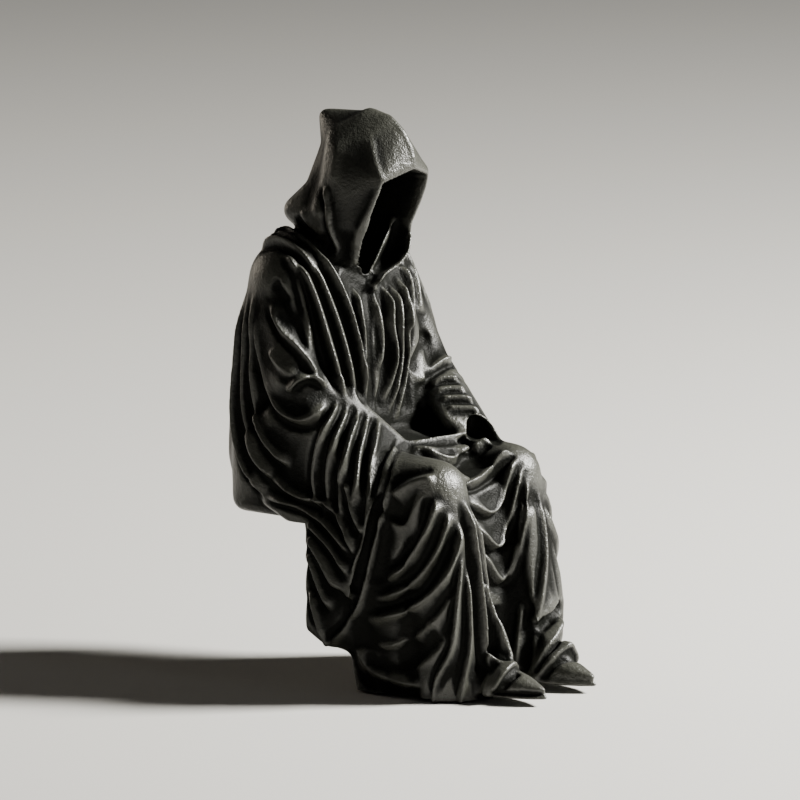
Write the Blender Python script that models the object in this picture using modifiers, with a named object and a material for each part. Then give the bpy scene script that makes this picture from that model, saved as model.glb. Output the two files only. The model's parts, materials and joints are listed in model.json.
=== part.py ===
"""Seated hooded figure in a long robe, cast in one piece to sit on the edge of a ledge."""
import math

import bmesh
import bpy
import numpy as np
from mathutils import Matrix, Vector
from mathutils.bvhtree import BVHTree

# Driving sizes in metres.
FIGURE_HEIGHT = 0.1515
UNIT = FIGURE_HEIGHT / 151.5
CLOTH_VOXEL = 0.0009
TRIANGLES = 9300

# Landmarks are (x, forward, up) in units of the figure: forward is measured from the edge
# of the ledge, up from the seat. The origin is the middle of the seat, behind that edge.
SEAT_MIDDLE = -14.0
LEG_BACK = 0.0
HEM_LEVEL = -43.8


def place(x, forward, up):
    return Vector((x, SEAT_MIDDLE - forward, up)) * UNIT


def both(*balls):
    return [(side * x, f, z, r) for x, f, z, r in balls for side in ((-1, 1) if x else (1,))]


def add_hull(mesh, balls):
    one = bmesh.new()
    for x, f, z, r in balls:
        bmesh.ops.create_icosphere(one, subdivisions=3, radius=r * UNIT,
                                   matrix=Matrix.Translation(place(x, f, z)))
    found = bmesh.ops.convex_hull(one, input=one.verts[:])
    inner = [v for v in found["geom_interior"] if isinstance(v, bmesh.types.BMVert)]
    bmesh.ops.delete(one, geom=inner, context="VERTS")
    bmesh.ops.delete(one, geom=[e for e in one.edges if not e.link_faces], context="EDGES")
    bmesh.ops.recalc_face_normals(one, faces=one.faces[:])
    keep = bpy.data.meshes.new("hull")
    one.to_mesh(keep)
    one.free()
    mesh.from_mesh(keep)
    bpy.data.meshes.remove(keep)


def linked(name, data):
    thing = bpy.data.objects.new(name, data)
    bpy.context.scene.collection.objects.link(thing)
    return thing


def hulls(name, groups):
    mesh = bmesh.new()
    for balls in groups:
        add_hull(mesh, balls)
    data = bpy.data.meshes.new(name)
    mesh.to_mesh(data)
    mesh.free()
    return linked(name, data)


def settle(thing):
    graph = bpy.context.evaluated_depsgraph_get()
    data = bpy.data.meshes.new_from_object(thing.evaluated_get(graph))
    thing.modifiers.clear()
    thing.data = data
    return thing


def skin(thing, voxel, blend):
    grid = thing.modifiers.new("skin", "REMESH")
    grid.mode = "VOXEL"
    grid.voxel_size = voxel
    if blend:
        soft = thing.modifiers.new("soft", "SMOOTH")
        soft.factor = 0.5
        soft.iterations = max(1, round((blend * UNIT / voxel) ** 2))
    return settle(thing)


# Shoe stations: forward, half width and height of the upper at its middle.
SHOE_MIDDLE = 11.0
SHOE_STATIONS = [(43, 5.6, -33.5), (50, 5.6, -34.3), (54, 5.1, -35.4), (58.6, 3.9, -36.8), (62.2, 2.1, -38.4)]
SHOE_ROUND = 0.7
UPPER_FOOT = -40.0
UPPER_TIP = 64.4
SOLE_MIDDLE = -41.9
SOLE_TIP = 65.2
SOLE_HALF = 0.6


def shoe_upper(side):
    balls = [(side * SHOE_MIDDLE, UPPER_TIP, UPPER_FOOT, SHOE_ROUND)]
    for forward, half, top in SHOE_STATIONS:
        for turn in range(0, 181, 30):
            turn = math.radians(turn)
            balls.append((side * (SHOE_MIDDLE + (half - SHOE_ROUND) * math.cos(turn)), forward,
                          UPPER_FOOT + (top - SHOE_ROUND - UPPER_FOOT) * math.sin(turn), SHOE_ROUND))
    return balls


def shoe_sole(side):
    balls = [(side * SHOE_MIDDLE, SOLE_TIP, SOLE_MIDDLE, SOLE_HALF)]
    for forward, half, _ in SHOE_STATIONS:
        for edge in (-1, 1):
            balls.append((side * SHOE_MIDDLE + edge * half, forward, SOLE_MIDDLE, SOLE_HALF))
    return balls


GARMENTS = {
    "torso": (2.6, [
        both((18, -19.5, 11, 12), (19, -1, 10, 11), (17, -19, 30, 13), (23, -24.5, 3.5, 5),
             (24, 0, 3.5, 5)),
        both((17, -19, 30, 13), (14, -2, 24, 11)) + [
            (-17, -13, 61.5, 13.5), (17, -13, 60.5, 11), (0, -10, 68, 10), (-8, -2, 50, 9), (8, -2, 50, 9)],
    ]),
    "hood": (0.9, [
        both((0, -1, 104.9, 2.3), (0, 4.4, 103.9, 2), (0, 8.4, 100.7, 2), (0, 11.4, 97, 1.6),
             (0, 13.2, 92.8, 1), (2.6, -1.2, 104.2, 1.6), (6.2, 3.4, 99.3, 1.3), (8.5, 7.4, 93.7, 1),
             (10, 10.4, 89.6, 0.7), (5.2, -6.5, 99, 4), (9.5, -4, 90, 4.5), (10.4, 6.6, 81, 0.8),
             (10.8, 2.2, 73, 0.9), (9.4, 1, 67, 0.9), (4.8, -0.5, 63, 0.9), (9, -6, 78, 5)),
        both((0, -15, 103.3, 2.4), (0, -7, 97, 8.2), (0, -3.5, 103, 3.2)),
        both((0, -7.7, 95, 8), (8, -10.5, 88, 2.9), (9.8, -13, 82, 3)),
        both((8.3, -11, 87, 2.9), (10.6, -17, 79.6, 3.7), (11, -6, 80, 4.2), (9, -3, 68, 3),
             (0, -16, 78, 5)),
    ]),
    "arm_right": (1.4, [
        [(-19.5, -13, 58, 11), (-26.5, -5, 38, 8)],
        [(-26.5, -5, 38, 8), (-9, 14, 19.5, 4.2)],
        [(-26, -4, 34, 7), (-9, 14.5, 19, 4), (-20, 17, 15, 4), (-28, 20, 7, 2), (-27, -12, 6, 5),
         (-27, -14, 20, 6), (-28, 2, -3, 2.5)],
        [(-28, 20, 7, 1.8), (-30.5, 15, -18.5, 1.3), (-29, 1.5, -6, 2), (-28, 2, 2, 2.5), (-24, 16, 8, 3)],
    ]),
    "arm_left": (1, [
        [(17, -12.5, 60, 10.8), (23.5, -1, 36, 7.8)],
        [(23.5, -1, 36, 7.6), (22.5, 2, 34, 6.5), (16, 21, 25.8, 2), (17, 23.8, 23.2, 1.5),
         (18, 28.4, 19.4, 1.1), (12, 20, 20.5, 4), (10, 17, 24, 3)],
        [(25, -3, 33, 6.5), (14, 22, 19, 4), (28, 18, 7, 2.5), (31, 12, -10, 1.3), (29, 1.5, -5, 2.5),
         (27, -12, 6, 5), (27, -14, 20, 6)],
    ]),
    "skirt": (2.2, [
        [(-17, -8, 11, 11), (-17, 33, 10, 10)],
        [(17, -8, 11, 11), (16.6, 32.6, 9.8, 9.7)],
        [(-17, 33, 10, 10), (-14, 37.5, -38, 10.8), (-14, 37.5, -52, 10.8)],
        [(16.6, 32.6, 9.8, 9.7), (21, 41, -24, 6), (13, 37.5, -36, 10), (13, 36.5, -52, 10)],
        [(21, 41, -24, 6), (23.5, 40.5, -36, 4.6), (16, 33, -44, 8), (20, 30, -30, 7)],
        both((14, 30, 6, 8), (10, 33, -40, 9), (10, 33, -52, 9)),
        both((19, 10, 4, 9.5), (28, -0.6, -2, 2.6), (28, -0.6, -27, 2.6), (24, 10, -30, 5), (20, 24, -30, 8),
             (20, 28, 0, 7)),
        both((28, -0.6, -27, 2.6), (26.8, 4.6, -33, 1.2), (20, 12, -30, 5), (12, 10, -22, 6)),
        both((22.5, 14, -31, 4.6), (22.5, 14.2, -37, 4.6), (22, 16.4, -46, 4.6), (19.5, 34, -40, 5),
             (19.5, 34, -52, 5), (15, 20, -26, 6), (10, 18, -30, 4)),
        both((0, 5, 12, 12), (12, 20, 9, 9)),
    ]),
    "shoes": (0.3, [
        balls for side in (-1, 1) for balls in (shoe_upper(side), shoe_sole(side))
    ]),
    "cuff_inner": (0.6, [
        [(-8, 16.5, 20.6, 1.3), (10.5, 23.5, 21.2, 1.3), (0, 18, 17, 2)],
        [(-7, 20, 18.3, 2), (6, 24.5, 17.6, 1.8)],
    ]),
    "cuffs": (0.3, [
        [(-17.4, 51.2, -41.8, 0.7), (-17, 52.8, -39, 0.7), (-14.8, 53.8, -36, 0.7), (-11.3, 54.1, -34.2, 0.7),
         (-7.6, 53.2, -35.5, 0.7), (-5, 51, -39, 0.7), (-4.6, 49.5, -41.8, 0.7), (-11, 43, -32.5, 3),
         (-16, 43, -41, 2), (-7, 43, -40, 2)],
        [(-10, 45.2, -14, 0.8), (-9.4, 48.8, -25, 0.7), (-8, 51.8, -33, 0.7), (-10, 43, -27, 3)],
        [(17.4, 51.2, -41.8, 0.7), (16.8, 54.3, -36.8, 0.7), (13, 55, -32.6, 0.7), (7.4, 53, -36, 0.7),
         (5, 50, -40.5, 0.7), (4.8, 49.3, -41.8, 0.7), (12, 44, -31, 2), (16, 44, -41, 2), (7, 44, -40, 2)],
        [(21.5, 47, -26.4, 0.7), (15, 50.2, -29.2, 0.7), (10, 50.3, -32.3, 0.7), (7, 49.4, -36.5, 0.7),
         (5, 48.2, -40.8, 0.7), (20, 42, -30, 3), (14, 41, -26, 3), (8, 42, -38, 2)],
        [(9, 47.4, -27, 0.7), (15.5, 48.4, -24.8, 0.7), (22, 46.8, -22.3, 0.7), (13, 40, 0, 5),
         (20, 37, 0, 6)],
    ]),
}


# Each row is a fan of folds: how many, the landmarks of its first and last fold, the height
# (below nought for a hollow), the width, and the share of it carried by the other side.
FOLDS = [
    # Front of the robe, from the near shoulder down to the belt of sleeves.
    (3, [(-18, -18.5, 73.5), (-19, -2.5, 69), (-15, 4.5, 53), (-13, 10.5, 29.5)],
     [(-25, -6.5, 69.5), (-24, -1, 59.5), (-22, 2, 47), (-21, 8, 33)], 1.5, 0.9, 0),
    (3, [(-19.5, -19, 73), (-15.5, -17, 74.5), (-19.5, -6, 72.5), (-17, 0.5, 63.5)],
     [(-22, -21, 70.5), (-23, -13.5, 73.5), (-23, -5.5, 70.5), (-22.5, -1, 64)], 1.1, 0.9, 0.8),
    (2, [(-9.5, 2, 62.5), (-12, 5, 54.5), (-11.5, 7, 46), (-12, 7.5, 40)],
     [(-1.5, 3, 61.5), (-5, 6, 54.5), (-5, 7.5, 45), (-7.5, 8, 38.5)], 0.9, 0.8, 0),
    (1, [(-4.5, 3, 63), (-9.5, 7, 49.5), (-10, 8, 36.5), (-9.5, 8.5, 28)], None, -2.6, 1.1, 0),
    (1, [(-1, 5, 58), (-2, 7.5, 46), (-4, 8, 35.5), (-8.5, 8.5, 27)], None, -1.6, 1.1, 0),
    (3, [(3, 3, 63), (-0.5, 7, 51), (-0.5, 7.5, 40.5), (-7, 8.5, 28)],
     [(11.5, 0.5, 63.5), (6.5, 7, 47.5), (5.5, 8, 39.5), (-1, 9, 24)], 1.3, 0.9, 0),
    (2, [(15, -1, 64), (15, 1.5, 59), (10, 6, 53.5), (7.5, 7, 48.5)],
     [(23, -3.5, 62.5), (20.5, 0, 56), (18.5, 2, 49.5)], 0.8, 1.0, 0),
    (1, [(8, 6.5, 49), (5, 8, 37), (3.5, 9, 25)], None, -2.2, 1.5, 0),
    # Near upper arm, its creases and the pinch at the elbow.
    (2, [(-25.5, -10, 71.5), (-26.5, -4.5, 65.5), (-26, -3, 57.5), (-27, 0.5, 45)],
     [(-29, -9.5, 66), (-28.5, -6, 60), (-27.5, -2.5, 54), (-27.5, 1, 43)], 0.7, 0.9, 0.8),
    (1, [(-30.5, -11.5, 58), (-31.5, -7, 51.5), (-29.5, 0, 45), (-27.5, 4, 37.5)], None, 0.9, 0.9, 0),
    (1, [(-32.5, -11, 45.5), (-33.5, -6, 42), (-32.5, 0, 39.5)], None, 0.4, 1.2, 0),
    (1, [(-30, -10.5, 63.5), (-29.5, -8, 61), (-28.5, -6, 58)], None, -0.7, 1.1, 0),
    (1, [(-33.5, -3.5, 34.5), (-32.5, -0.5, 38.5), (-29, 3, 39.5), (-26, 5, 36)], None, 1.0, 0.6, 0),
    (1, [(-32.5, -1.5, 35.5), (-30, 1.5, 37.6), (-27, 4.4, 36.4)], None, -0.6, 0.6, 0),
    # Far arm: pull at the elbow and the gathered forearm.
    (1, [(21, 4, 45), (13, 7, 41), (7, 8, 36.5)], None, -1.5, 1.2, 0),
    (1, [(8.5, 8.5, 32.5), (15.5, 8, 36), (21.5, 9, 38.5), (24, 8, 37)], None, 0.8, 0.9, 0),
    (1, [(11.5, 8, 33.5), (17, 9.5, 37), (22, 10, 37)], None, -1.1, 0.8, 0),
    (4, [(13, 8.5, 32), (15.5, 12, 35), (20, 14, 33.5)], [(10.5, 16.5, 27), (12, 20.5, 29), (18, 24, 26.5)],
     0.6, 0.8, 0),
    # Long folds that fall down the back of the side and swing forward under the arm.
    (3, [(-25, -24, 60.5), (-27.5, -24, 43.5), (-28.5, -24.5, 26.5), (-30, -20, 12.5), (-32, -11.5, 6)],
     [(-29, -18.5, 60.5), (-30, -17.5, 44.5), (-29.5, -16, 28.5), (-32.5, -8.5, 19), (-32, -3, 15)],
     1.2, 1.2, 0.9),
    (1, [(-32.5, -11.5, 12.5), (-31.5, -0.5, 7.5), (-30.5, 8.5, 6.5), (-30.5, 14, 0), (-30.5, 18, -9)], None,
     1.4, 1.2, 0.9),
    (1, [(-32, -12.5, 6), (-31, -0.5, 4.5), (-30.5, 9, -0.5), (-31, 16, -8)], None, 1.1, 0.9, 0.9),
    (1, [(-30, -16.5, 58), (-30, -14.5, 42), (-33, -7, 30.5), (-32, 2, 28), (-24, 7, 33.5)], None,
     1.0, 1.2, 0.8),
    # Near sleeve, hanging from the forearm: its folds, its open seam and the two edges of that.
    (4, [(-23.5, 7, 33), (-28, 7.5, 29.5), (-31.5, 7, 24), (-31.5, 4, 11)],
     [(-12.5, 12.5, 28), (-20, 15.5, 22.5), (-25.5, 18.5, 16), (-28, 20.5, 10.5)], 1.3, 1.0, 0.8),
    (1, [(-30.5, 14, 13.5), (-30.5, 15.5, 7), (-30, 19.5, -2)], None, 1.2, 0.9, 0.8),
    (1, [(-9, 16.5, 22.5), (-23.5, 22, 17), (-29, 21.5, 7), (-29.5, 19, -2.5), (-31, 15, -14)], None,
     1.0, 0.5, 0.8),
    (1, [(-8, 18.5, 20), (-24, 25, 13), (-27, 23, 3), (-28, 20.5, -7.5), (-28, 17, -21),
         (-29, 11, -27)], None, 1.2, 0.6, 0.8),
    (1, [(-16, 20.5, 19), (-25.5, 22.5, 12), (-28.5, 21.3, 3), (-29, 19.5, -6), (-29, 17.5, -13),
         (-29.5, 15, -20)], None, -1.9, 0.8, 0.8),
    # Back of the lower leg: short folds under the seat and the pointed tail of the robe.
    (3, [(-30.5, 5, -0.5), (-31, 10, -5.5), (-31.5, 15.5, -13)],
     [(-30, 2, -9.5), (-30, 3.5, -13.5), (-30, 5.5, -17.5)], 1.2, 0.9, 0.9),
    (2, [(-30, 2.5, -24), (-28.5, 3, -31), (-27.5, 4, -33.5)],
     [(-29, 15, -22), (-29, 12.5, -27), (-28, 5.5, -33)], 1.0, 0.9, 0.9),
    # Near leg: swags hung from the knee, upright folds, shin, and the swelling of the hem.
    (3, [(-24.5, 39.5, 10.5), (-25.5, 38, 3.5), (-26, 32.5, -6.5), (-27.5, 24, -13.5)],
     [(-18.5, 43.5, 4), (-22.5, 42.5, -7.5), (-26, 35, -18), (-28.5, 18.5, -24.5)], 1.5, 1.4, 0.5),
    (1, [(-23, 38, 16), (-26, 32, 14), (-27, 25.5, 9.5)], None, 0.7, 1.5, 0.5),
    (1, [(-26, 36.5, 12.5), (-26.5, 33, 6.5), (-26.5, 29, 2), (-27, 24, 3.5)], None, 0.7, 1.0, 0.5),
    (1, [(-28, 22, 3), (-28, 23.5, -6), (-28, 22, -15)], None, -0.9, 2.5, 0.8),
    (2, [(-18, 43.5, 1.5), (-21.5, 44, -16.5), (-23, 43, -30), (-25, 39, -39)],
     [(-17, 44.5, -6.5), (-18, 46, -19.5), (-19, 46.5, -30), (-21.5, 45.5, -40.5)], 0.9, 0.8, 0.3),
    (1, [(-16, 43, 10), (-14, 46.5, -6), (-13.5, 49, -22), (-13.5, 49, -43)], None, 1.2, 1.0, 0),
    (1, [(-12, 43, 8), (-8, 43.5, -10), (-6, 45, -24), (-5.5, 45, -36)], None, 1.2, 0.9, 0),
    (1, [(-28.5, 15.5, -31.5), (-26.5, 18.5, -37), (-25.5, 26.5, -39.5), (-25, 36, -40.5)], None,
     1.1, 2.2, 0.9),
    (1, [(-28.5, 14, -28.5), (-26.5, 24, -31), (-25.5, 34, -30), (-24, 40, -24)], None, -1.1, 3.0, 0.9),
    # Swags between the knees and the far leg.
    (4, [(-11, 42, 15.5), (-0.5, 35.5, 11.5), (8.5, 34.5, 14.5), (12.5, 36.5, 18.5)],
     [(-5, 41, -4), (3.5, 40, -16), (8.5, 41.5, -5.5), (13, 41, 12.5)], 1.2, 1.0, 0),
    (2, [(13, 41, 12.5), (11.5, 42, 2), (9, 42, -8), (4.5, 40.5, -18.5)],
     [(17.5, 42.5, 8), (15, 44.5, -9), (11.5, 45.5, -21.5), (8, 47, -31.5)], 0.8, 0.9, 0),
    (1, [(10.5, 40, 10), (9, 40.5, -0.5), (6.5, 39.5, -7)], None, -2.0, 1.5, 0),
    (1, [(0, 37, -22), (0, 38, -32), (0, 38, -44)], None, -3.0, 2.0, 0),
    # Hem drawn up over both feet.
    (2, [(8, 43.5, -21.5), (5.5, 43.5, -33), (4, 44, -40)],
     [(10, 46, -29.5), (6, 48, -36.5), (6, 47.5, -40.5)], 0.5, 0.8, 0),
    # Hood: seam, creases, the twisted fold at its side and the hollow where it meets the collar.
    (1, [(0, 9, 101.5), (0, 11.5, 97.5), (0, 13, 93.5)], None, 0.4, 0.9, 0),
    (2, [(-4, -12, 104), (-10, -9.5, 93.5), (-15, -6, 81)],
     [(-7, -4, 101.5), (-12, -1.5, 93), (-13.5, -1, 86.5)], 0.4, 1.3, 1),
    (1, [(-13.5, -5.5, 88), (-14.5, -4, 82), (-14, -3.5, 76), (-12, -1.5, 67.5)], None, 0.8, 0.7, 0.7),
    (1, [(-14.5, -12.5, 80.5), (-14, -9.5, 76.5), (-14.5, -6.5, 74)], None, 0.4, 1.2, 1),
    (1, [(-10.5, 10.5, 89.5), (-11, 7.5, 82.5), (-11, 3, 75), (-10.5, 1.7, 70)], None, 0.25, 0.5, 1),
    (1, [(-14, -17, 74.5), (-19.5, -8, 72.5), (-16.5, -4, 68), (-13, -2, 63.5)], None, -1.3, 1.6, 1),
    (1, [(9, 1, 75.5), (5.5, 1.6, 69.5), (1.5, 2, 66), (-2, 2.2, 63.4)], None, -1.0, 0.8, 0),
    # Sash of cloth across the lap.
    (1, [(-8, 18, 19.5), (0, 27, 17), (10.5, 26, 18.5), (14.5, 29, 21)], None, 0.9, 1.0, 0),
    # Plain folds down the back.
    (7, [(-15, -25, 66), (-19, -31, 36), (-22, -30, 6)],
     [(15, -25, 66), (19, -31, 36), (22, -30, 6)], 0.9, 1.5, 0),
]

# The skin is sunk by a little before the folds stand out of it, but not at the hood or the
# shoes, and never by more than a share of the wall behind it.
SINK = 1.1
SINK_FADE = 6
HOOD_LEVEL = 77
FOOT_START = 47.5
FOOT_FADE = 2.5
THICKEST = 8.0
WALL_SHARE = 0.3
START_IN = 0.05

# The form of one fold: how high and how deep, how its path is smoothed and its ends fade, and
# the slopes of its two flanks. A hollow is tucked in beside the steep one.
RELIEF = 2.2
DEPTH = 1.3
SECOND_LOWER = 0.25
PATH_ROUNDS = 8
PATH_SAMPLES = 40
END_FADE = 0.2
STEEP = 0.5
GENTLE = 1.15
TUCK = 0.45
TUCK_AWAY = 2.0
TUCK_WIDTH = 0.7
REACH = 5.0
TURNED_AWAY = 0.3
TURN_FADE = 0.5

# Blends between skins in millimetres, and the voxel of the last skin as a share of the first.
BODY_BLEND = 0.7
COWL_BLEND = 0.3
CUT_BLEND = 0.5
LAST_BLEND = 0.6
FINAL_VOXEL = 0.75
CREST_VOXELS = 1.1

# Blocks cut away below the seat and below the hem reach past the figure by this much.
PAST = 90

# Hollows and edges worked after the folds.
FACE_HOLLOW = [
    both((9.3, 10.2 + out, 88.7, 0.5), (9.6, 6.4 + out, 81.2, 0.5), (8.7, 2 + out, 73.4, 0.5),
         (6.9, 0.8 + out, 67.4, 0.5), (3.6, -0.9 + out, 64.2, 0.5), (0, 12.9 + out, 91.5, 0.5))
    for out in (0, 16)
]
FACE_DEPTH = both((7, -6, 87, 2.6), (6, -7, 76, 2.6))
# Edges of cloth round the lower opening of the hood, each with a point inside the figure that
# the cloth between runs back to: the radius of the edge, its landmarks, the inner points.
COWL_EDGES = [
    (0.8, [(10.5, 4.2, 76.5), (10.4, 5, 72.3), (7.4, 6.4, 68.3), (4.4, 6.3, 66), (1.4, 5.8, 64.7),
           (-1.5, 5.4, 63.6), (-3.6, 5, 61.6)],
     [(12, -2, 75), (11.5, -2, 71.5), (9.5, -2, 67), (7, -2, 64), (4, -2, 62), (0, -2, 61), (-2, -2, 59)]),
    (0.8, [(-6.6, 0.2, 62.8), (-2.5, 0.9, 63.9), (-0.5, 1, 66.2), (2.8, 1, 70.5), (5.5, 0.9, 73.3),
           (8.6, 0.2, 76.4)],
     [(-6, -3, 61), (-1, -3, 61), (1, -3, 62), (5, -3, 64), (9, -3, 67), (11, -3, 74)]),
    (0.4, [(-5.6, -1.4, 74.5), (-4.6, -0.6, 69.5), (-6, -0.4, 63.2)],
     [(-10, -3, 75), (-9.5, -3, 70), (-7, -3, 63)]),
]
COWL_ROOT = 1.2


def cowl_pieces():
    pieces = []
    for edge, points, roots in COWL_EDGES:
        balls = [((*point, edge), (*root, COWL_ROOT)) for point, root in zip(points, roots)]
        pieces.extend([*a, *b] for a, b in zip(balls[:-1], balls[1:]))
    return pieces


# The mouth of the far sleeve: points on its near side, and how deep the hollow goes behind each.
FAR_MOUTH = [(13, 23.6, 24.2, 0.8, 2.6), (14.5, 25.9, 23.2, 0.8, 2.2), (15.6, 28, 21.3, 0.7, 1.4),
             (16.4, 29.3, 19.6, 0.6, 0.4), (12.8, 23.4, 20.4, 0.8, 2.6)]
INWARD = Vector((0.8, -0.6, 0))
MOUTH_OUT = 6.0


def mouth_balls():
    balls = []
    for x, f, z, r, depth in FAR_MOUTH:
        for step in (-MOUTH_OUT, depth):
            balls.append((x + INWARD.x * step, f + INWARD.y * step, z, r))
    return balls


def spline(points, samples=PATH_SAMPLES):
    ends = [points[0], *points, points[-1]]
    knots = np.array([tuple(place(*p)) for p in ends])
    out = []
    for step in np.linspace(0, len(points) - 1.0001, samples):
        i = int(step)
        t = step - i
        a, b, c, d = knots[i:i + 4]
        out.append(0.5 * (2 * b + (c - a) * t + (2 * a - 5 * b + 4 * c - d) * t ** 2
                          + (3 * b - a - 3 * c + d) * t ** 3))
    return np.array(out)


def paths():
    for count, first, last, height, width, other in FOLDS:
        start = spline(first)
        stop = spline(last) if last else start
        for i in range(count):
            blend = i / (count - 1) if count > 1 else 0
            path = start * (1 - blend) + stop * blend
            high = (RELIEF if height > 0 else DEPTH) * height * (1 - SECOND_LOWER * (i % 2))
            yield path, high, width, 1
            if other:
                yield path * (-1, 1, 1), high * other, width, -1


def reach(points, path, facing):
    best = np.full(len(points), 1e9)
    share = np.zeros(len(points))
    side = np.zeros(len(points))
    for i, (a, b) in enumerate(zip(path[:-1], path[1:])):
        along = b - a
        t = np.clip((points - a) @ along / max(along @ along, 1e-12), 0, 1)
        off = points - a - t[:, None] * along
        gap = np.linalg.norm(off, axis=1)
        near = gap < best
        best[near] = gap[near]
        share[near] = (i + t[near]) / (len(path) - 1)
        side[near] = off[near] @ np.cross(along, facing)
    return best, share, side


def ease(t):
    t = np.clip(t, 0, 1)
    return t * t * (3 - 2 * t)


def wall_depth(tree, points, normals):
    depth = np.full(len(points), THICKEST)
    for i, (point, normal) in enumerate(zip(points, normals)):
        start = Vector(point - normal * START_IN * UNIT)
        _, _, _, far = tree.ray_cast(start, Vector(-normal), THICKEST * UNIT)
        if far is not None:
            depth[i] = far / UNIT
    return depth


def carve(thing, crest_radius):
    data = thing.data
    count = len(data.vertices)
    points = np.empty(count * 3)
    data.vertices.foreach_get("co", points)
    points = points.reshape(-1, 3)
    normals = np.empty(count * 3)
    data.vertices.foreach_get("normal", normals)
    normals = normals.reshape(-1, 3)
    mesh = bmesh.new()
    mesh.from_mesh(data)
    tree = BVHTree.FromBMesh(mesh)
    mesh.free()
    ridges = np.zeros(count)
    hollows = np.zeros(count)
    for path, height, width, hand in paths():
        found = [tree.find_nearest(Vector(p)) for p in path]
        path = np.array([tuple(hit) for hit, _, _, _ in found])
        for _ in range(PATH_ROUNDS):
            path[1:-1] = (path[:-2] + 2 * path[1:-1] + path[2:]) / 4
        facing = np.mean([tuple(normal) for _, normal, _, _ in found], axis=0)
        margin = REACH * width * UNIT
        inside = np.all((points > path.min(axis=0) - margin) & (points < path.max(axis=0) + margin), axis=1)
        index = np.flatnonzero(inside)
        if not len(index):
            continue
        gap, share, side = reach(points[index], path, facing)
        gap /= UNIT
        fade = ease(share / END_FADE) * ease((1 - share) / END_FADE)
        fade *= ease((normals[index] @ facing + TURNED_AWAY) / TURN_FADE)
        if height > 0:
            steep = side * hand > 0
            slope = np.maximum(width * np.where(steep, STEEP, GENTLE), crest_radius)
            crest = np.exp(-(np.sqrt(gap ** 2 + crest_radius ** 2) - crest_radius) / slope)
            ridges[index] = np.maximum(ridges[index], height * fade * crest)
            tuck = np.exp(-0.5 * ((gap - TUCK_AWAY * width) / (TUCK_WIDTH * width)) ** 2) * steep
            hollows[index] = np.maximum(hollows[index], TUCK * height * fade * tuck)
        else:
            hollow = np.exp(-0.5 * (gap / width) ** 2)
            hollows[index] = np.maximum(hollows[index], -height * fade * hollow)
    sunk = SINK * ease((HOOD_LEVEL - points[:, 2] / UNIT) / SINK_FADE)
    sunk *= ease((FOOT_START + FOOT_FADE - SEAT_MIDDLE + points[:, 1] / UNIT) / FOOT_FADE)
    inward = np.minimum(hollows + sunk, WALL_SHARE * wall_depth(tree, points, normals))
    moved = points + normals * ((ridges - inward) * UNIT)[:, None]
    data.vertices.foreach_set("co", moved.ravel())
    data.update()


def joined(name, things):
    mesh = bmesh.new()
    for thing in things:
        mesh.from_mesh(thing.data)
        bpy.data.objects.remove(thing)
    data = bpy.data.meshes.new(name)
    mesh.to_mesh(data)
    mesh.free()
    return linked(name, data)


def combine(thing, other, operation):
    step = thing.modifiers.new(other.name, "BOOLEAN")
    step.object = other
    step.operation = operation
    step.solver = "EXACT"
    settle(thing)
    bpy.data.objects.remove(other)


def block(name, low, high):
    mesh = bmesh.new()
    bmesh.ops.create_cube(mesh, size=1)
    a, b = place(*low), place(*high)
    bmesh.ops.transform(mesh, verts=mesh.verts[:], matrix=Matrix.Translation((a + b) / 2) @ Matrix.Diagonal(
        (*(abs(v) for v in (b - a)), 1)))
    data = bpy.data.meshes.new(name)
    mesh.to_mesh(data)
    mesh.free()
    return linked(name, data)


def largest(thing):
    mesh = bmesh.new()
    mesh.from_mesh(thing.data)
    left = set(mesh.verts)
    pieces = []
    while left:
        piece = {left.pop()}
        edge = list(piece)
        while edge:
            vert = edge.pop()
            near = {e.other_vert(vert) for e in vert.link_edges} & left
            left -= near
            piece |= near
            edge.extend(near)
        pieces.append(piece)
    keep = max(pieces, key=len)
    bmesh.ops.delete(mesh, geom=[v for v in mesh.verts if v not in keep], context="VERTS")
    mesh.to_mesh(thing.data)
    mesh.free()


def figure(voxel, triangles):
    garments = [skin(hulls(name, groups), voxel, blend) for name, (blend, groups) in GARMENTS.items()]
    body = skin(joined("body", garments), voxel, BODY_BLEND)
    combine(body, hulls("face", [FACE_HOLLOW[0] + FACE_HOLLOW[1] + FACE_DEPTH]), "DIFFERENCE")
    combine(body, skin(hulls("cowl", cowl_pieces()), voxel, COWL_BLEND), "UNION")
    combine(body, hulls("mouth", [mouth_balls()]), "DIFFERENCE")
    skin(body, voxel, CUT_BLEND)
    largest(body)
    carve(body, CREST_VOXELS * voxel / UNIT)
    skin(body, voxel * FINAL_VOXEL, LAST_BLEND)
    largest(body)
    thin = body.modifiers.new("thin", "DECIMATE")
    thin.ratio = min(1, triangles / sum(len(p.vertices) - 2 for p in body.data.polygons))
    settle(body)
    combine(body, block("ledge", (-PAST, -PAST, -PAST), (PAST, LEG_BACK, 0)), "DIFFERENCE")
    combine(body, block("floor", (-PAST, -PAST, -PAST), (PAST, PAST, HEM_LEVEL)), "DIFFERENCE")
    return body


def resin():
    material = bpy.data.materials.new("black resin")
    material.use_nodes = True
    surface = material.node_tree.nodes["Principled BSDF"]
    surface.inputs["Base Color"].default_value = (0.02, 0.021, 0.02, 1)
    surface.inputs["Roughness"].default_value = 0.42
    return material


def build():
    for thing in list(bpy.data.objects):
        bpy.data.objects.remove(thing)
    body = figure(CLOTH_VOXEL, TRIANGLES)
    body.name = "seated_reaper"
    body.data.name = "seated_reaper"
    body.data.materials.clear()
    body.data.materials.append(resin())
    home = bpy.data.collections.new("Seated grim reaper")
    bpy.context.scene.collection.children.link(home)
    bpy.context.scene.collection.objects.unlink(body)
    home.objects.link(body)


build()
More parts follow.
